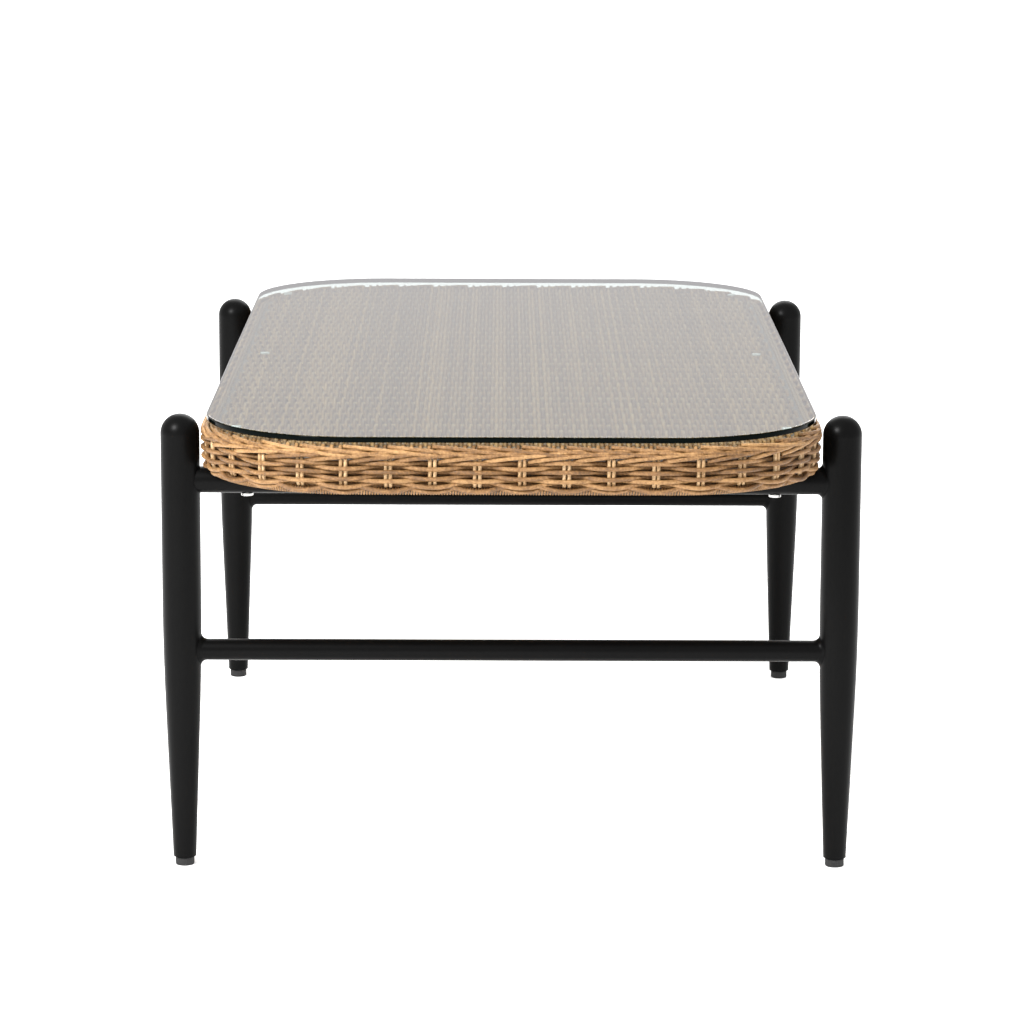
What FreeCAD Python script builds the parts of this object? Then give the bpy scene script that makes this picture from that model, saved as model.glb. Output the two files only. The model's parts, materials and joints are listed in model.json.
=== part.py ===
import FreeCAD, Part
import math
import os

# Wicker coffee table: four tapered metal legs in two end frames, a woven tray and a loose glass top.
# Millimetres. The origin is on the floor under the middle of the table.
# +X is to the right, +Y runs along the table and +Z is up.

# Overall
table_height = 457.0
leg_spacing_x = 644.0
leg_spacing_y = 815.0

# Glass top and the clear bumpers under it
glass_width = 590.0
glass_length = 1125.0
glass_thickness = 6.0
glass_corner = 147.0
glass_edge_round = 1.6
bumper_radius = 5.0
bumper_height = 1.5
bumper_rows_y = (-470.0, 0.0, 470.0)
bumper_from_edge = 32.0

# Legs: straight above the blend, tapered below it, domed on top
leg_radius = 19.1
leg_wall = 2.0
leg_end_z = 9.0
leg_top_z = 452.5
taper_slope = 0.0377
taper_top_z = 270.0
taper_straight_z = 160.0
leg_bore_radius = 9.35
leg_bore_depth = 20.0

# Rails welded between the legs of each end frame
top_rail_radius = 13.0
top_rail_z = 387.5
top_rail_weld = 5.0
stretcher_radius = 10.5
stretcher_z = 218.0
stretcher_weld = 6.0
rail_wall = 1.8
weld_gap = 0.15

# Levelling feet: a ribbed base and a stud, screwed into a plug in the leg's end
foot_radius = 9.35
foot_height = 7.6
foot_rim_round = 1.2
foot_rib_count = 30
foot_groove_radius = 0.55
foot_neck_radius = 7.4
foot_neck_top_z = 8.85
foot_socket_z = 3.0
stud_radius = 4.0
stud_length = 29.0
stud_tip_chamfer = 0.8
plug_radius = 9.25
plug_length = 18.0
running_clearance = 0.05
clear_past = 1.0
weld_reach = 3
socket_sides = 6

# Tray frame: two rod hoops, posts between them and hollow bars across them.
# An inset is measured inwards from the glass's outline.
lower_hoop_inset = 4.8
lower_hoop_radius = 3.0
lower_hoop_z = 405.0
upper_hoop_inset = 12.5
upper_hoop_radius = 6.0
upper_hoop_z = 439.2
post_inset = 10.9
post_radius = 3.0
post_low_z = 402.5
post_rows_y = (-250.0, 0.0, 250.0)
post_rows_x = (-90.0, 90.0)
bar_wall = 2.0
cross_bar_width = 30.0
cross_bar_height = 12.0
top_bar_width = 20.0
top_bar_height = 9.0
top_bars_y = {"front": -270.0, "middle": 0.0, "rear": 270.0}
joint_gap = 0.1

# Bolts that hold the tray on the top rails
bolt_x = 257.0
bolt_radius = 3.0
bolt_length = 35.0
bolt_head_radius = 6.0
bolt_head_height = 2.5
bolt_head_round = 0.8
bolt_socket_radius = 2.3
bolt_socket_depth = 1.5
bolt_hole_radius = 3.4
insert_radius = 4.5
insert_length = 9.5

# Wicker: plain closed solids of the weave's outer shape
weave_top_z = 449.4
weave_strand = 4.1
weave_bottom_z = 437.5
weave_edge_inset = 9.5
hoop_wrap_radius = 4.3
apron_bottom_z = 402.0
apron_top_z = 433.2
rim_bottom_z = 433.4
weave_inner_offset = -5.6
# Outward offset from the glass's outline and height, up the outer face
apron_outer_face = ((2.6, apron_bottom_z), (5.4, 411.0), (6.3, 422.0), (6.3, apron_top_z))
rim_outer_face = ((6.3, rim_bottom_z), (5.4, 441.0), (2.0, 446.4), (-3.0, 448.9))

up = FreeCAD.Vector(0, 0, 1)
half_x = leg_spacing_x / 2
half_y = leg_spacing_y / 2
corner_x = glass_width / 2 - glass_corner
corner_y = glass_length / 2 - glass_corner
sides = {"front": -1, "rear": 1}
hands = {"left": -1, "right": 1}


def vec(x, y, z):
    return FreeCAD.Vector(x, y, z)


def cylinder(radius, low_z, high_z, x=0.0, y=0.0):
    return Part.makeCylinder(radius, high_z - low_z, vec(x, y, low_z), up)


def block(x0, x1, y0, y1, z0, z1):
    return Part.makeBox(x1 - x0, y1 - y0, z1 - z0, vec(x0, y0, z0))


def save(shape, name):
    """Writes one sub-part, after making sure that it is whole."""
    solids = shape.Solids
    if not solids or not shape.isValid():
        raise ValueError(name + " is not a valid solid")
    shape.exportStep("parts/" + name + ".step")
    volume = sum(solid.Volume for solid in solids)
    print(name, len(solids), "solid(s)", round(volume), "mm3")


def rounded_slab(offset, low_z, high_z):
    """A plate with the glass's outline moved outwards by offset."""
    x = glass_width / 2 + offset
    y = glass_length / 2 + offset
    slab = block(-x, x, -y, y, low_z, high_z)
    uprights = [e for e in slab.Edges if abs(e.Vertexes[0].Z - e.Vertexes[1].Z) > 0]
    return slab.makeFillet(glass_corner + offset, uprights)


def hoop(section):
    """Sweeps a section round the tray. It is a face in the XZ plane, with x = 0 on the glass's outline."""
    corners = [(corner_x, corner_y), (-corner_x, corner_y), (-corner_x, -corner_y), (corner_x, -corner_y)]
    pieces = []
    for quarter, (x, y) in enumerate(corners):
        bend_start = section.copy()
        bend_start.translate(vec(glass_corner, 0, 0))
        bend_start.rotate(vec(0, 0, 0), up, 90 * quarter)
        bend_start.translate(vec(x, y, 0))
        pieces.append(bend_start.revolve(vec(x, y, 0), up, 90))
        run_start = bend_start.copy()
        run_start.rotate(vec(x, y, 0), up, 90)
        next_x, next_y = corners[(quarter + 1) % len(corners)]
        pieces.append(run_start.extrude(vec(next_x - x, next_y - y, 0)))
    return pieces[0].multiFuse(pieces[1:]).removeSplitter()


def round_section(radius, inset, z):
    centre = vec(-inset, 0, z)
    edge = Part.makeCircle(radius, centre, vec(0, 1, 0))
    return Part.Face(Part.Wire([edge]))


def ring_section(outer_radius, inner_radius, inset, z):
    return round_section(outer_radius, inset, z).cut(round_section(inner_radius, inset, z))


def outline_section(points):
    corners = [vec(x, 0, z) for x, z in points]
    return Part.Face(Part.makePolygon(corners + corners[:1]))


def leg_solid(shrink):
    """The leg's solid of revolution about the origin's vertical, with its radii reduced by shrink."""
    radius = leg_radius - shrink
    lean = math.atan(taper_slope)
    blend_radius = (taper_top_z - taper_straight_z) / math.sin(lean)
    blend_start = radius - blend_radius * (1 - math.cos(lean))
    middle = vec(
        radius - blend_radius * (1 - math.cos(lean / 2)), 0, taper_top_z - blend_radius * math.sin(lean / 2)
    )
    end_radius = blend_start - taper_slope * (taper_straight_z - leg_end_z)
    crown_z = leg_top_z - leg_radius
    crown = math.sqrt(0.5) * radius
    base = vec(0, 0, leg_end_z)
    end = vec(end_radius, 0, leg_end_z)
    blend_low = vec(blend_start, 0, taper_straight_z)
    blend_high = vec(radius, 0, taper_top_z)
    shoulder = vec(radius, 0, crown_z)
    top = vec(0, 0, crown_z + radius)
    edges = [
        Part.makeLine(base, end),
        Part.makeLine(end, blend_low),
        Part.Arc(blend_low, middle, blend_high).toShape(),
        Part.makeLine(blend_high, shoulder),
        Part.Arc(shoulder, vec(crown, 0, crown_z + crown), top).toShape(),
        Part.makeLine(top, base),
    ]
    return Part.Face(Part.Wire(edges)).revolve(vec(0, 0, 0), up, 360)


def make_leg():
    inside = leg_solid(leg_wall)
    solid_end = block(-leg_radius, leg_radius, -leg_radius, leg_radius, 0, leg_end_z + leg_bore_depth)
    bore = cylinder(leg_bore_radius, leg_end_z, leg_end_z + leg_bore_depth + clear_past)
    return leg_solid(0).cut(inside.cut(solid_end)).cut(bore)


def make_rail(radius, z, weld, side):
    """A tube between the two legs of one end, with a concave weld round each end."""
    y = side * half_y
    along = vec(1, 0, 0)
    rod = Part.makeCylinder(radius, leg_spacing_x, vec(-half_x, y, z), along)
    reach = radius + weld_reach * weld
    leg_width = 2 * leg_radius
    joined = rod
    for hand in hands.values():
        near = block(-leg_width, leg_width, -leg_width, leg_width, z - reach, z + reach)
        post = leg_solid(0).common(near)
        post.translate(vec(hand * half_x, y, 0))
        joined = joined.fuse(post)
    seams = []
    for edge in joined.Edges:
        box = edge.BoundBox
        inside_z = max(abs(box.ZMin - z), abs(box.ZMax - z)) < radius + clear_past
        crosses = box.YLength > radius and box.ZLength > radius
        if inside_z and crosses and box.XLength < leg_radius:
            seams.append(edge)
    welded = joined.makeFillet(weld, seams)
    for hand in hands.values():
        room = leg_solid(-weld_gap)
        room.translate(vec(hand * half_x, y, 0))
        welded = welded.cut(room)
    bore = Part.makeCylinder(radius - rail_wall, leg_spacing_x, vec(-half_x, y, z), along)
    rail = max(welded.Solids, key=lambda solid: solid.Volume)
    return rail.cut(bore)


def make_foot_base():
    """The ribbed pad that stands on the floor, with a socket for the stud."""
    pad = cylinder(foot_radius, 0, foot_height)
    rim = [e for e in pad.Edges if e.BoundBox.ZMax < foot_height / 2 and e.BoundBox.XLength > foot_radius]
    pad = pad.makeFillet(foot_rim_round, rim)
    groove_circle = foot_radius + foot_groove_radius / 3
    grooves = []
    for step in range(foot_rib_count):
        angle = 2 * math.pi * step / foot_rib_count
        x = groove_circle * math.cos(angle)
        y = groove_circle * math.sin(angle)
        grooves.append(cylinder(foot_groove_radius, foot_rim_round, foot_height, x, y))
    neck = cylinder(foot_neck_radius, foot_height, foot_neck_top_z)
    socket = cylinder(stud_radius + running_clearance, foot_socket_z - running_clearance, foot_neck_top_z)
    return pad.cut(grooves).fuse(neck).removeSplitter().cut(socket)


def make_stud():
    stud = cylinder(stud_radius, foot_socket_z, foot_socket_z + stud_length)
    middle_z = foot_socket_z + stud_length / 2
    tip = [e for e in stud.Edges if e.BoundBox.ZMin > middle_z and e.BoundBox.XLength > stud_radius]
    return stud.makeChamfer(stud_tip_chamfer, tip)


def make_plug():
    bore = cylinder(stud_radius + running_clearance, leg_end_z, leg_end_z + plug_length)
    return cylinder(plug_radius, leg_end_z, leg_end_z + plug_length).cut(bore)


def make_bolt():
    """A low round-headed screw with a hexagon socket, standing under the top rail."""
    seat_z = top_rail_z - top_rail_radius
    head = cylinder(bolt_head_radius, seat_z - bolt_head_height, seat_z)
    low_z = seat_z - bolt_head_height
    low_edges = [e for e in head.Edges if e.BoundBox.ZMax < seat_z - clear_past]
    low_rim = [e for e in low_edges if e.BoundBox.XLength > bolt_head_radius]
    head = head.makeFillet(bolt_head_round, low_rim)
    corners = []
    for step in range(socket_sides + 1):
        angle = 2 * math.pi * step / socket_sides
        x, y = bolt_socket_radius * math.cos(angle), bolt_socket_radius * math.sin(angle)
        corners.append(vec(x, y, low_z))
    socket = Part.Face(Part.makePolygon(corners)).extrude(up * bolt_socket_depth)
    return head.fuse(cylinder(bolt_radius, seat_z, seat_z + bolt_length)).removeSplitter().cut(socket)


def make_bar(end_x, y, width, low_z, height):
    """A rectangular tube across the tray, open at both ends."""
    bar = block(-end_x, end_x, y - width / 2, y + width / 2, low_z, low_z + height)
    inside = width / 2 - bar_wall
    return bar.cut(block(-end_x, end_x, y - inside, y + inside, low_z + bar_wall, low_z + height - bar_wall))


def at_corner(shape, hand, side, x=half_x):
    placed = shape.copy()
    placed.translate(vec(hand * x, side * half_y, 0))
    return placed


os.makedirs("parts", exist_ok=True)

# Legs, feet and rails
leg = make_leg()
plug = make_plug()
stud = make_stud()
foot_base = make_foot_base()
bolt = make_bolt()
cross_bar_z = top_rail_z + top_rail_radius + 2 * joint_gap
insert = cylinder(insert_radius, cross_bar_z, cross_bar_z + insert_length)
insert = insert.cut(cylinder(bolt_radius + running_clearance, cross_bar_z, cross_bar_z + insert_length))
for side_name, side in sides.items():
    for hand_name, hand in hands.items():
        corner = side_name + "_" + hand_name
        save(at_corner(leg, hand, side), "leg_" + corner)
        save(at_corner(plug, hand, side), "foot_plug_" + corner)
        save(at_corner(stud, hand, side), "foot_stud_" + corner)
        save(at_corner(foot_base, hand, side), "foot_base_" + corner)
        save(at_corner(bolt, hand, side, bolt_x), "tray_bolt_" + corner)
        save(at_corner(insert, hand, side, bolt_x), "tray_insert_" + corner)

for side_name, side in sides.items():
    top_rail = make_rail(top_rail_radius, top_rail_z, top_rail_weld, side)
    for hand in hands.values():
        top_rail = top_rail.cut(at_corner(cylinder(bolt_hole_radius, 0, table_height), hand, side, bolt_x))
    save(top_rail, "top_rail_" + side_name)
    save(make_rail(stretcher_radius, stretcher_z, stretcher_weld, side), "stretcher_" + side_name)

# Tray frame
save(hoop(round_section(lower_hoop_radius, lower_hoop_inset, lower_hoop_z)), "tray_lower_hoop")
save(hoop(round_section(upper_hoop_radius, upper_hoop_inset, upper_hoop_z)), "tray_upper_hoop")
post_x = glass_width / 2 - post_inset
post_y = glass_length / 2 - post_inset
post_high_z = upper_hoop_z - upper_hoop_radius
post_places = [(hand * post_x, y) for hand in hands.values() for y in post_rows_y]
post_places += [(x, side * post_y) for side in sides.values() for x in post_rows_x]
posts = [cylinder(post_radius, post_low_z, post_high_z, x, y) for x, y in post_places]
save(Part.makeCompound(posts), "tray_posts")

bar_end = glass_width / 2 - lower_hoop_inset - lower_hoop_radius - joint_gap
insert_room = cylinder(insert_radius + running_clearance, 0, cross_bar_z + cross_bar_height / 2)
for side_name, side in sides.items():
    bar = make_bar(bar_end, side * half_y, cross_bar_width, cross_bar_z, cross_bar_height)
    for hand in hands.values():
        bar = bar.cut(at_corner(insert_room, hand, side, bolt_x))
    save(bar, "tray_cross_bar_" + side_name)

top_bar_end = glass_width / 2 - upper_hoop_inset - upper_hoop_radius - joint_gap
top_bar_z = weave_bottom_z - joint_gap - top_bar_height
for name, y in top_bars_y.items():
    save(make_bar(top_bar_end, y, top_bar_width, top_bar_z, top_bar_height), "tray_top_bar_" + name)

# Wicker
wrap = hoop(ring_section(hoop_wrap_radius, lower_hoop_radius + joint_gap, lower_hoop_inset, lower_hoop_z))
for x, y in post_places:
    wrap = wrap.cut(cylinder(post_radius + joint_gap, 0, table_height, x, y))
bar_room = cross_bar_width / 2 + joint_gap
for side in sides.values():
    y = side * half_y
    wrap = wrap.cut(block(-bar_end, bar_end, y - bar_room, y + bar_room, 0, table_height))
save(wrap, "wicker_hoop_wrap")

wrap_top_z = lower_hoop_z + hoop_wrap_radius + joint_gap
wrap_front = hoop_wrap_radius - lower_hoop_inset + joint_gap
apron_inside = (
    (weave_inner_offset, apron_top_z),
    (weave_inner_offset, wrap_top_z),
    (wrap_front, wrap_top_z),
    (wrap_front, apron_bottom_z),
)
save(hoop(outline_section(apron_outer_face + apron_inside)), "wicker_apron")

skin_z = weave_top_z - weave_strand
rim_inside = (
    (-weave_edge_inset + joint_gap, weave_top_z),
    (-weave_edge_inset + joint_gap, skin_z),
    (weave_inner_offset, skin_z - weave_strand / 2),
    (weave_inner_offset, rim_bottom_z),
)
save(hoop(outline_section(rim_outer_face + rim_inside)), "wicker_rim")

weave = rounded_slab(-weave_edge_inset, skin_z, weave_top_z)
body_inset = upper_hoop_inset + upper_hoop_radius + joint_gap
weave = weave.fuse(rounded_slab(-body_inset, weave_bottom_z, skin_z)).removeSplitter()
save(weave, "wicker_top")

# Glass and bumpers
glass_low_z = table_height - glass_thickness
glass = rounded_slab(0, glass_low_z, table_height)
rims = [e for e in glass.Edges if e.BoundBox.ZLength < glass_thickness / 2]
save(glass.makeFillet(glass_edge_round, rims), "glass_top")
bumper_x = glass_width / 2 - bumper_from_edge
bumper_places = [(hand * bumper_x, y) for hand in hands.values() for y in bumper_rows_y]
bumpers = [cylinder(bumper_radius, glass_low_z - bumper_height, glass_low_z, x, y) for x, y in bumper_places]
save(Part.makeCompound(bumpers), "glass_bumpers")
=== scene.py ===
import json
import math
import random
import bpy
from mathutils import Matrix, Vector


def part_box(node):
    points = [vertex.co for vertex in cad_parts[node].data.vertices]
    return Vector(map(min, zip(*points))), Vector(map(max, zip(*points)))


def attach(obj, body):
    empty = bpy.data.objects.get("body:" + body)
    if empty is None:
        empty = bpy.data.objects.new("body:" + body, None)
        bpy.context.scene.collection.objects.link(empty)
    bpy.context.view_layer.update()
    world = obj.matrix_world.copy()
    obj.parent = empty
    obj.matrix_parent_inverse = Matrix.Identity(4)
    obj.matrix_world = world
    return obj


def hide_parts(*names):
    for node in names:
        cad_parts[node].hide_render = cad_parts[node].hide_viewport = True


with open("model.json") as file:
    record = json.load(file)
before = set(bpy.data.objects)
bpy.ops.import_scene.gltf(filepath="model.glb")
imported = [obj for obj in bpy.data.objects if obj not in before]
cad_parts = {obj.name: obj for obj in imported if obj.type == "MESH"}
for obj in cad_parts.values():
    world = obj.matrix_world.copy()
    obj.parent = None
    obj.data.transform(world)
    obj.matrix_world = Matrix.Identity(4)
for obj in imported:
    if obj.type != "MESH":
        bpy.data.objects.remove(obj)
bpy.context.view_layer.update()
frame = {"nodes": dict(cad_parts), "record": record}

nodes = frame["nodes"]
mm = 0.001
scene = bpy.context.scene
print("frame loaded:", len(nodes), "nodes")


# shader sockets as plain Python expressions

class Socket:
    def __init__(self, mat, out):
        self.mat, self.out = mat, out

    def math(self, op, a, b=None):
        inputs = [a] if b is None else [a, b]
        return self.mat.node("ShaderNodeMath", {"operation": op}, dict(enumerate(inputs)))[0]

    def __add__(self, o):
        return self.math("ADD", self, o)

    def __radd__(self, o):
        return self.math("ADD", o, self)

    def __sub__(self, o):
        return self.math("SUBTRACT", self, o)

    def __rsub__(self, o):
        return self.math("SUBTRACT", o, self)

    def __mul__(self, o):
        return self.math("MULTIPLY", self, o)

    def __rmul__(self, o):
        return self.math("MULTIPLY", o, self)

    def sine(self):
        return self.math("SINE", self)

    def size(self):
        return self.math("ABSOLUTE", self)

    def clamp(self):
        return self.mat.node("ShaderNodeClamp", {}, {0: self})[0]


class Finish:
    # one material: node() takes a node's type, its settings, and its sockets' values or links
    def __init__(self, name):
        self.material = bpy.data.materials.new(name)
        self.material.use_nodes = True
        self.tree = self.material.node_tree
        self.tree.nodes.clear()

    def node(self, kind, settings=None, sockets=None):
        made = self.tree.nodes.new(kind)
        for key, value in (settings or {}).items():
            if key == "stops":
                ramp = made.color_ramp
                while len(ramp.elements) < len(value):
                    ramp.elements.new(1)
                for element, (place, colour) in zip(ramp.elements, value):
                    element.position = place
                    element.color = (*colour, 1)
            else:
                setattr(made, key, value)
        for key, value in (sockets or {}).items():
            if isinstance(value, Socket):
                self.tree.links.new(value.out, made.inputs[key])
            else:
                made.inputs[key].default_value = value
        return [Socket(self, out) for out in made.outputs]

    def place(self):
        return self.node("ShaderNodeTexCoord")[3]     # object coordinates, metres in the row frame

    def noise(self, scale, detail=3, stretch=(1, 1, 1), rough=0.55):
        moved = self.node("ShaderNodeVectorMath", {"operation": "MULTIPLY"}, {0: self.place(),
                                                                              1: stretch})[0]
        return self.node("ShaderNodeTexNoise", {}, {"Vector": moved, "Scale": scale, "Detail": detail,
                                                    "Roughness": rough})[0]

    def mixColour(self, factor, a, b):
        # sockets 6 and 7 are the colour pair of the Mix node, and output 2 is its colour
        return self.node("ShaderNodeMix", {"data_type": "RGBA"}, {0: factor, 6: a, 7: b})[2]

    def bump(self, height, strength, distance):
        return self.node("ShaderNodeBump", {}, {"Strength": strength, "Distance": distance,
                                                "Height": height})[0]

    def output(self, shader):
        self.node("ShaderNodeOutputMaterial", {}, {"Surface": shader})
        return self.material

    def principled(self, sockets):
        return self.node("ShaderNodeBsdfPrincipled", {}, sockets)[0]


def rgb(r, g, b):
    # screen colour 0-255 to the linear values Blender wants
    return tuple((v / 255 / 12.92) if v <= 10 else ((v / 255 + 0.055) / 1.055) ** 2.4 for v in (r, g, b))


def rgba(*c):
    return (*rgb(*c), 1)


# finishes

coatLook = {"dark": (4, 4, 4), "light": (9, 9, 9), "rough": 0.34, "grain": 0.22, "shine": 0.06}
plasticLook = {"dark": (14, 14, 14), "light": (26, 26, 26), "rough": 0.62}
wickerLook = {"deep": (30, 18, 8), "mid": (116, 82, 45), "pale": (172, 133, 86), "rough": 0.5}
strandRidges = 9                      # fine ridges round one strand
stakeLook = {"deep": (112, 80, 48), "mid": (184, 148, 104), "pale": (220, 190, 148), "rough": 0.48}


def powderCoat():
    f = Finish("blackPowderCoat")
    cloud = f.noise(9, 3)
    grain = f.noise(1500, 2)
    colour = f.mixColour(cloud, rgba(*coatLook["dark"]), rgba(*coatLook["light"]))
    rough = coatLook["rough"] - 0.05 + cloud * 0.1
    return f.output(f.principled({"Base Color": colour, "Roughness": rough,
                                  "Specular IOR Level": coatLook["shine"],
                                  "Normal": f.bump(grain, coatLook["grain"], 0.0002)}))


def mouldedPlastic():
    f = Finish("blackMouldedPlastic")
    cloud = f.noise(60, 3)
    grain = f.noise(2600, 2)
    colour = f.mixColour(cloud, rgba(*plasticLook["dark"]), rgba(*plasticLook["light"]))
    return f.output(f.principled({"Base Color": colour,
                                  "Roughness": plasticLook["rough"] - 0.06 + cloud * 0.12,
                                  "Normal": f.bump(grain, 0.2, 0.0002)}))


def platedMetal(name, tone, rough):
    f = Finish(name)
    brushed = f.noise(900, 3, stretch=(1, 1, 0.06))
    cloud = f.noise(70, 3)
    colour = f.mixColour(cloud, rgba(*[int(v * 0.8) for v in tone]), rgba(*tone))
    return f.output(f.principled({"Base Color": colour, "Metallic": 1.0,
                                  "Roughness": rough - 0.08 + brushed * 0.16,
                                  "Normal": f.bump(brushed, 0.12, 0.0001)}))


def brownCoat():
    f = Finish("brownCoatedAluminium")
    cloud = f.noise(25, 3)
    grain = f.noise(1800, 2)
    colour = f.mixColour(cloud, rgba(52, 36, 22), rgba(78, 55, 34))
    return f.output(f.principled({"Base Color": colour, "Roughness": 0.45 + cloud * 0.1,
                                  "Normal": f.bump(grain, 0.2, 0.0002)}))


def strandFinish(name, look):
    # a strand's own tone is its "tone" attribute, and its place round the strand is "turn"
    f = Finish(name)
    tone = f.node("ShaderNodeAttribute", {"attribute_name": "tone"})[2]
    turn = f.node("ShaderNodeAttribute", {"attribute_name": "turn"})[2]
    blotch = f.noise(55, 4)
    fine = f.noise(420, 3)
    level = (tone * 0.55 + blotch * 0.45 + (fine - 0.5) * 0.7).clamp()
    colour = f.node("ShaderNodeValToRGB", {"stops": [(0.12, rgb(*look["deep"])), (0.48, rgb(*look["mid"])),
                                                     (0.85, rgb(*look["pale"]))]}, {0: level})[0]
    groove = (turn * strandRidges * 2 * math.pi).sine()
    height = groove * 0.5 + fine * 0.6
    return f.output(f.principled({"Base Color": colour, "Roughness": look["rough"] - 0.08 + fine * 0.18,
                                  "Specular IOR Level": 0.4, "Normal": f.bump(height, 0.35, 0.0003)}))


glassLook = {"mirror": (222, 220, 222), "sheenGain": 1.2, "ior": 1.5, "clear": (226, 232, 230),
             "edge": (1, 4, 3), "edgeShine": 0.03}


def clearGlass():
    # the two faces are clear with a mirror sheen that grows at a low angle, and the edge is dark green
    f = Finish("clearGlass")
    geometry = f.node("ShaderNodeNewGeometry")
    normalZ = f.node("ShaderNodeSeparateXYZ", {}, {0: geometry[1]})[2]
    frontFace = 1 - geometry[6]          # the far face, met from inside, lets everything through
    flat = (normalZ.size() * 3 - 1.6).clamp()
    smear = f.noise(14, 2)
    through = f.node("ShaderNodeBsdfTransparent", {}, {0: rgba(*glassLook["clear"])})[0]
    mirror = f.node("ShaderNodeBsdfGlossy", {}, {"Color": rgba(*glassLook["mirror"]),
                                                 "Roughness": smear * 0.03 + 0.01})[0]
    fresnel = f.node("ShaderNodeFresnel", {}, {"IOR": glassLook["ior"]})[0]
    sheen = (fresnel * glassLook["sheenGain"]).clamp() * frontFace
    face = f.node("ShaderNodeMixShader", {}, {0: sheen, 1: through, 2: mirror})[0]
    edge = f.principled({"Base Color": rgba(*glassLook["edge"]), "Roughness": smear * 0.05 + 0.03,
                        "Specular IOR Level": glassLook["edgeShine"]})
    return f.output(f.node("ShaderNodeMixShader", {}, {0: flat, 1: edge, 2: face})[0])


def clearBumper():
    f = Finish("clearSilicone")
    cloud = f.noise(300, 3)
    colour = f.mixColour(cloud, rgba(205, 206, 203), rgba(232, 233, 230))
    return f.output(f.principled({"Base Color": colour, "Roughness": 0.3 + cloud * 0.15,
                                  "Transmission Weight": 0.5,
                                  "IOR": 1.41, "Normal": f.bump(cloud, 0.1, 0.0001)}))


finishes = {
    "black_powder_coat": powderCoat(),
    "black_plastic": mouldedPlastic(),
    "zinc_steel": platedMetal("zincPlatedSteel", (196, 198, 200), 0.34),
    "stainless_steel": platedMetal("stainlessSteel", (214, 213, 210), 0.26),
    "tray_aluminium": brownCoat(),
    "clear_glass": clearGlass(),
    "clear_bumper": clearBumper(),
}
weaverFinish = strandFinish("honeyWicker", wickerLook)
stakeFinish = strandFinish("creamStake", stakeLook)
slotOf = {s["node"]: s["material_slot"] for s in frame["record"]["subparts"]}
for name, node in nodes.items():
    if slotOf[name] in finishes:
        node.data.materials.clear()
        node.data.materials.append(finishes[slotOf[name]])
print("finishes given to the CAD nodes")


# the tray outline, in mm: s runs anticlockwise seen from above, e is outward from the glass outline

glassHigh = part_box("glass_top")[1]
outline = {"halfX": glassHigh.x / mm, "halfY": glassHigh.y / mm, "corner": 147.0}
cornerX = outline["halfX"] - outline["corner"]
cornerY = outline["halfY"] - outline["corner"]
arc = outline["corner"] * math.pi / 2
runs = [2 * cornerX, arc, 2 * cornerY, arc, 2 * cornerX, arc, 2 * cornerY, arc]
around = sum(runs)


def outlinePoint(s, e):
    # s = 0 is the left end of the straight front
    s %= around
    side = 0
    while s > runs[side]:
        s -= runs[side]
        side += 1
    quarter = side // 2
    centres = [(cornerX, -cornerY), (cornerX, cornerY), (-cornerX, cornerY), (-cornerX, -cornerY)]
    if side % 2 == 0:
        start = [(-cornerX, -cornerY), (cornerX, -cornerY), (cornerX, cornerY), (-cornerX,
                                                                                 cornerY)][quarter]
        along = [(1, 0), (0, 1), (-1, 0), (0, -1)][quarter]
        out = [(0, -1), (1, 0), (0, 1), (-1, 0)][quarter]
        reach = outline["corner"] + e
        return (start[0] + along[0] * s + out[0] * reach, start[1] + along[1] * s + out[1] * reach)
    angle = -math.pi / 2 + quarter * math.pi / 2 + s / outline["corner"]
    cx, cy = centres[quarter]
    reach = outline["corner"] + e
    return (cx + reach * math.cos(angle), cy + reach * math.sin(angle))


def trayPoint(s, e, z):
    x, y = outlinePoint(s, e)
    return Vector((x, y, z))


# strands as tubes

def smooth(points, steps, closed=False):
    # Catmull-Rom through the points
    made = []
    count = len(points)
    last = count if closed else count - 1
    for i in range(last):
        if closed:
            p = [points[(i + k - 1) % count] for k in range(4)]
        else:
            p = [points[min(max(i + k - 1, 0), count - 1)] for k in range(4)]
        for k in range(steps):
            t = k / steps
            made.append(0.5 * (2 * p[1] + (p[2] - p[0]) * t + (2 * p[0] - 5 * p[1] + 4 * p[2] - p[3]) * t * t
                               + (3 * p[1] - p[0] - 3 * p[2] + p[3]) * t ** 3))
    if not closed:
        made.append(points[-1])
    return made


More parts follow.
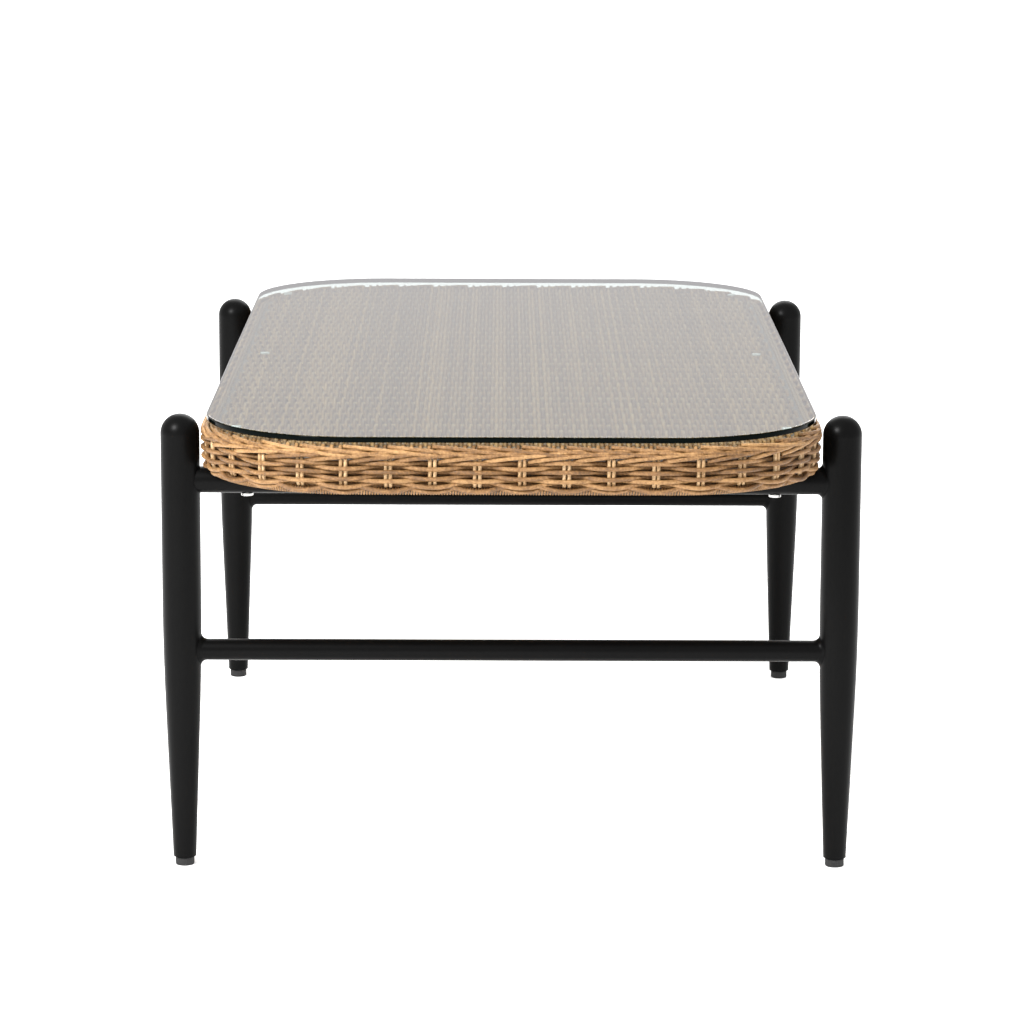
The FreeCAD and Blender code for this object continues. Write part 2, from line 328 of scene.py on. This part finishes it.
class Bundle:
    # many tubes in one mesh, with each strand's tone and turn kept for the finish
    def __init__(self, name):
        self.name, self.verts, self.faces = name, [], []
        self.tone, self.turn = [], []

    def tube(self, path, radius, sides=6, tone=0.5, closed=False):
        first = len(self.verts)
        count = len(path)
        up = Vector((0, 0, 1))
        side = None
        for i, p in enumerate(path):
            ahead = path[(i + 1) % count] if (closed or i < count - 1) else p
            behind = path[i - 1] if (closed or i > 0) else p
            forward = (ahead - behind).normalized()
            if side is None:
                side = forward.cross(up if abs(forward.z) < 0.9 else Vector((1, 0, 0))).normalized()
            else:
                side = (side - forward * side.dot(forward)).normalized()
            other = forward.cross(side)
            for k in range(sides):
                a = 2 * math.pi * k / sides
                self.verts.append((p + side * (radius * math.cos(a)) + other * (radius * math.sin(a))) * mm)
                self.tone.append(tone)
                self.turn.append(k / sides)
        rings = count if closed else count - 1
        for i in range(rings):
            a, b = first + i * sides, first + ((i + 1) % count) * sides
            for k in range(sides):
                n = (k + 1) % sides
                self.faces.append((a + k, a + n, b + n, b + k))
        if not closed:
            self.faces.append(tuple(first + k for k in reversed(range(sides))))
            self.faces.append(tuple(first + (count - 1) * sides + k for k in range(sides)))

    def build(self, finish, body="frame"):
        mesh = bpy.data.meshes.new(self.name)
        mesh.from_pydata(self.verts, [], self.faces)
        for attribute, values in (("tone", self.tone), ("turn", self.turn)):
            mesh.attributes.new(attribute, "FLOAT", "POINT").data.foreach_set("value", values)
        mesh.polygons.foreach_set("use_smooth", [True] * len(mesh.polygons))
        mesh.materials.append(finish)
        made = bpy.data.objects.new(self.name, mesh)
        scene.collection.objects.link(made)
        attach(made, body)
        triangles = sum(len(p.vertices) - 2 for p in mesh.polygons)
        print(self.name, "triangles", triangles)
        return made


# the apron: stake pairs and eight weaver rows

apron = {"pairs": 76, "stakeRadius": 1.9, "stakeGap": 4.5, "weaverRadius": 2.2, "front": 3.95,
         "jitter": 0.35,
         "pairAtX": 9.8}
pitch = around / apron["pairs"]
firstPair = cornerX + apron["pairAtX"]         # s of the high pair right of the middle of the front
dice = random.Random(11)

# height in front of its own pair, height behind at the other pairs, whether its own pairs are the high ones
rows = [
    {"front": 432.6, "behind": 431.0, "high": False},
    {"front": 427.1, "behind": 428.3, "high": True},
    {"front": 424.0, "behind": 422.5, "high": False},
    {"front": 417.5, "behind": 419.6, "high": True},
    {"front": 415.2, "behind": 415.5, "high": False},
    {"front": 409.2, "behind": 413.8, "high": True},
    {"front": 405.4, "behind": 411.6, "high": False},
    {"front": 404.6, "behind": 410.9, "high": True},
]


def pairPlace(k):
    return firstPair + k * pitch


def sag(s):
    # the right side hangs a little lower and looser
    x, y = outlinePoint(s, 0)
    return 1.0 * max(0.0, x / outline["halfX"]) ** 2


def tuck(z):
    # lower rows sit further in
    return -2.4 * min(1.0, max(0.0, (420 - z) / 15))


def weaverRow(bundle, row, tone):
    steps = 6
    path = []
    wobble = [dice.uniform(-1, 1) for _ in range(apron["pairs"])]
    for k in range(apron["pairs"]):
        for j in range(steps):
            s = pairPlace(k) + pitch * j / steps
            isHigh = (k % 2 == 0)
            phase = (j / steps) * math.pi + (0 if isHigh == row["high"] else math.pi)
            swing = math.cos(phase)
            middle = (row["front"] + row["behind"]) / 2
            z = middle + (row["front"] - row["behind"]) / 2 * swing
            w = wobble[k] * (1 - j / steps) + wobble[(k + 1) % apron["pairs"]] * (j / steps)
            z += apron["jitter"] * w - sag(s)
            setBack = 2.4 if row is rows[-1] else 0          # the lowest row lies under the one above it
            e = 0.3 + apron["front"] * swing + tuck(z) * (1 if swing > 0 else 0.4) - setBack
            path.append(trayPoint(s, min(e, 4.0), max(z, 403.9)))
    bundle.tube(smooth(path, 2, closed=True), apron["weaverRadius"], 7, tone, closed=True)


apronBundle = Bundle("apron_weavers")
for row in rows:
    weaverRow(apronBundle, row, dice.uniform(0.35, 0.75))
apronWeavers = apronBundle.build(weaverFinish)

stakes = Bundle("apron_stakes")
for k in range(apron["pairs"]):
    for shift in (-0.5, 0.5):
        s = pairPlace(k) + shift * apron["stakeGap"] + dice.uniform(-0.25, 0.25)
        line = [(0.3, 436), (0.3, 430), (0.3, 422), (0.1, 415), (-2.0, 409.6)]
        stakes.tube(smooth([trayPoint(s, e, z) for e, z in line], 3), apron["stakeRadius"], 7,
                    dice.uniform(0.4, 0.8))
stakes.build(stakeFinish)
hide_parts("wicker_apron")

# thin cords just inside the stakes, which close the apron behind its weavers: a backing with a low, dark tone,
# painted shade standing in for the shadow behind the weave
shadeBacking = {"e": -6.9, "radius": 1.0, "lowZ": 409.5, "highZ": 432.0, "cords": 11, "points": 240}
shadeBackingBundle = Bundle("apron_shade_backing")
for i in range(shadeBacking["cords"]):
    z = shadeBacking["lowZ"] + (shadeBacking["highZ"] - shadeBacking["lowZ"]) * i / (shadeBacking["cords"] - 1)
    ring = [trayPoint(around * j / shadeBacking["points"], shadeBacking["e"], z) for j in range(shadeBacking["points"])]
    # the low tones darken these cords as painted shade
    shadeBackingBundle.tube(ring, shadeBacking["radius"], 6, dice.uniform(0.1, 0.35), closed=True)
shadeBackingBundle.build(weaverFinish)

# the coil round the lower hoop

coil = {"hoopE": -4.8, "hoopZ": 405.0, "turnRadius": 3.4, "cordRadius": 0.85, "pitch": 2.6, "steps": 6}
turns = round(around / coil["pitch"])
total = turns * coil["steps"]
coilPath = []
for i in range(total):
    s = around * i / total
    a = 2 * math.pi * i / coil["steps"]
    coilPath.append(trayPoint(s, coil["hoopE"] + coil["turnRadius"] * math.cos(a),
                              coil["hoopZ"] + coil["turnRadius"] * math.sin(a)))
coilBundle = Bundle("hoop_coil")
coilBundle.tube(coilPath, coil["cordRadius"], 6, 0.6, closed=True)
hoopCoil = coilBundle.build(weaverFinish)
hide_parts("wicker_hoop_wrap")

# the border: rising and descending strands that lap over each other

border = {"radius": 2.05}
borderBundle = Bundle("border_strands")
rising = [(6, 1.0, 433.6), (20, 4.1, 436.0), (48, 3.9, 439.2), (75, 3.1, 442.0), (95, 1.6, 444.0),
          (108, -1.0, 443.5)]
falling = [(0, -2.0, 447.0), (15, 0.9, 446.1), (45, 3.1, 443.3), (75, 3.9, 440.2), (95, 2.6, 438.8),
           (108, 0.2, 437.5)]
for k in range(apron["pairs"]):
    for line in (rising, falling):
        lift = dice.uniform(-0.3, 0.3)
        path = [trayPoint(pairPlace(k) + ds, min(e, 4.2), z + lift) for ds, e, z in line]
        borderBundle.tube(smooth(path, 4), border["radius"], 7, dice.uniform(0.35, 0.85))
borderStrands = borderBundle.build(weaverFinish)
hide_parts("wicker_rim")

# the woven top: front-to-back strands over and under cross stakes

topWeave = {"strandPitch": 4.15, "strandRadius": 2.07, "stakePitch": 32.5, "stakeRadius": 1.9,
            "stakeZ": 443.4,
            "over": 447.3, "under": 439.6, "edge": -9.5, "step": 8.125, "softness": 1.1}


def insideReach(across, halfAcross, halfAlong, e):
    # half length of the tray along one axis, at this place across the other
    radius = outline["corner"] + e
    centreAcross, centreAlong = halfAcross - outline["corner"], halfAlong - outline["corner"]
    if abs(across) <= centreAcross:
        return centreAlong + radius
    beyond = abs(across) - centreAcross
    return centreAlong + math.sqrt(max(radius ** 2 - beyond ** 2, 0)) if beyond < radius else 0


def topHeight(index, y):
    # flat over and under each cross stake, with a quick change between
    phase = math.pi * y / topWeave["stakePitch"] + math.pi * (index % 2)
    middle = (topWeave["over"] + topWeave["under"]) / 2
    return middle + (topWeave["over"] - topWeave["under"]) / 2 * math.tanh(
        topWeave["softness"] * math.cos(phase)) / math.tanh(topWeave["softness"])


reachX = outline["halfX"] + topWeave["edge"]
strandCount = int(2 * (reachX - 2) / topWeave["strandPitch"])
half = (strandCount - 1) / 2
parts = 3
bundles = [Bundle(f"top_strands_{part + 1}") for part in range(parts)]
for i in range(strandCount):
    x = (i - half) * topWeave["strandPitch"]
    reach = insideReach(x, outline["halfX"], outline["halfY"], topWeave["edge"])
    if reach < 20:
        continue
    count = int(2 * reach / topWeave["step"])
    path = []
    for j in range(count + 1):
        y = -reach + 2 * reach * j / count
        path.append(Vector((x + dice.uniform(-0.12, 0.12), y, topHeight(i, y))))
    # over the rim and down behind the border at both ends
    for end, turned in ((0, -1), (len(path), 1)):
        tip = Vector((x, turned * (reach + 5), 447.2 if i % 2 else 444.0))
        low = Vector((x, turned * (reach + 9.5), 443.5 if i % 2 else 441.0))
        path = [low, tip] + path if end == 0 else path + [tip, low]
    bundles[i * parts // strandCount].tube(path, topWeave["strandRadius"], 6, dice.uniform(0.3, 0.85))
topPieces = [b.build(weaverFinish) for b in bundles]
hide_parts("wicker_top")

crossBundle = Bundle("top_cross_stakes")
crossCount = int((outline["halfY"] - 20) / topWeave["stakePitch"])
for j in range(-crossCount, crossCount + 1):
    y = j * topWeave["stakePitch"]
    reach = insideReach(y, outline["halfY"], outline["halfX"], topWeave["edge"])
    if reach < 20:
        continue
    ends = [Vector((-reach + 2 * reach * t / 24, y, topWeave["stakeZ"])) for t in range(25)]
    crossBundle.tube(ends, topWeave["stakeRadius"], 6, dice.uniform(0.4, 0.8))
crossBundle.build(stakeFinish)

# rods that close the edge, from the woven top out to the border, all the way round
edgeRods = [(-11.5, 441.6), (-7.6, 443.9), (-3.8, 443.2), (-0.6, 440.6), (-3.6, 437.4)]
edgeBundle = Bundle("rim_edge_rods")
for e, z in edgeRods:
    ring = [trayPoint(around * i / 240, e + dice.uniform(-0.2, 0.2), z + dice.uniform(-0.2,
                                                                                      0.2)) for i in range(240)]
    edgeBundle.tube(ring, 2.05, 7, dice.uniform(0.35, 0.7), closed=True)
edgeBundle.build(weaverFinish)

# floor, light and camera

floorMesh = bpy.data.meshes.new("studioFloor")
floorMesh.from_pydata([(-30, -30, 0), (30, -30, 0), (30, 30, 0), (-30, 30, 0)], [], [(0, 1, 2, 3)])
floor = bpy.data.objects.new("studioFloor", floorMesh)
scene.collection.objects.link(floor)
paleFloor = Finish("paleFloor")
floorTone = paleFloor.mixColour(paleFloor.noise(3, 3), rgba(246, 246, 246), rgba(252, 252, 252))
floorSurface = paleFloor.principled({"Base Color": floorTone, "Roughness": 0.9, "Emission Color": (1,
                                                                                                   1, 1, 1),
                                     "Emission Strength": 0.3})
seenFromBelow = paleFloor.node("ShaderNodeNewGeometry")[6]      # clear from below, so that the underside shows
clearBelow = paleFloor.node("ShaderNodeBsdfTransparent")[0]
floorMesh.materials.append(paleFloor.output(paleFloor.node(
    "ShaderNodeMixShader", {}, {0: seenFromBelow, 1: floorSurface, 2: clearBelow})[0]))

lamps = {
    "key": {"at": (-2.0, -2.6, 2.6), "size": 0.9, "power": 215},
    "fill": {"at": (2.4, -1.8, 2.0), "size": 2.4, "power": 5},
    "back": {"at": (0.2, 3.2, 2.6), "size": 3.0, "power": 80},
    "above": {"at": (0, -0.6, 3.0), "size": 1.4, "power": 75},
}
for name, lamp in lamps.items():
    data = bpy.data.lights.new(name, "AREA")
    data.size, data.energy = lamp["size"], lamp["power"]
    light = bpy.data.objects.new(name, data)
    light.location = lamp["at"]
    light.rotation_euler = (Vector((0, 0, 0.3)) - light.location).to_track_quat("-Z", "Y").to_euler()
    light.visible_glossy = name != "above"        # so that the glass doesn't mirror a lamp overhead
    scene.collection.objects.link(light)

world = bpy.data.worlds.new("studio")
scene.world = world
world.use_nodes = True
world.node_tree.nodes["Background"].inputs[0].default_value = (1, 1, 1, 1)
world.node_tree.nodes["Background"].inputs[1].default_value = 1.05
scene.view_settings.view_transform = "Standard"

cameraView = {"at": (-0.01017, -4.2381, 1.0936), "lens": 140.6, "pitch": 0.1902, "yaw": 0.0029,
              "roll": 0.0037}


def cameraTurn(pitch, yaw, roll):
    base = Matrix(((1, 0, 0), (0, 0, -1), (0, 1, 0)))
    tilt = Matrix(((1, 0, 0), (0, math.cos(pitch), -math.sin(pitch)), (0, math.sin(pitch),
                                                                       math.cos(pitch))))
    swing = Matrix(((math.cos(yaw), 0, -math.sin(yaw)), (0, 1, 0), (math.sin(yaw), 0, math.cos(yaw))))
    roll = Matrix(((math.cos(roll), -math.sin(roll), 0), (math.sin(roll), math.cos(roll), 0), (0, 0, 1)))
    right, down, forward = (roll @ tilt @ swing @ base)
    return Matrix((right, -down, -forward)).transposed()


cameraData = bpy.data.cameras.new("camera")
cameraData.lens, cameraData.sensor_width = cameraView["lens"], 36
camera = bpy.data.objects.new("camera", cameraData)
scene.collection.objects.link(camera)
turned = cameraTurn(cameraView["pitch"], cameraView["yaw"], cameraView["roll"])
camera.matrix_world = Matrix.Translation(cameraView["at"]) @ turned.to_4x4()
scene.camera = camera
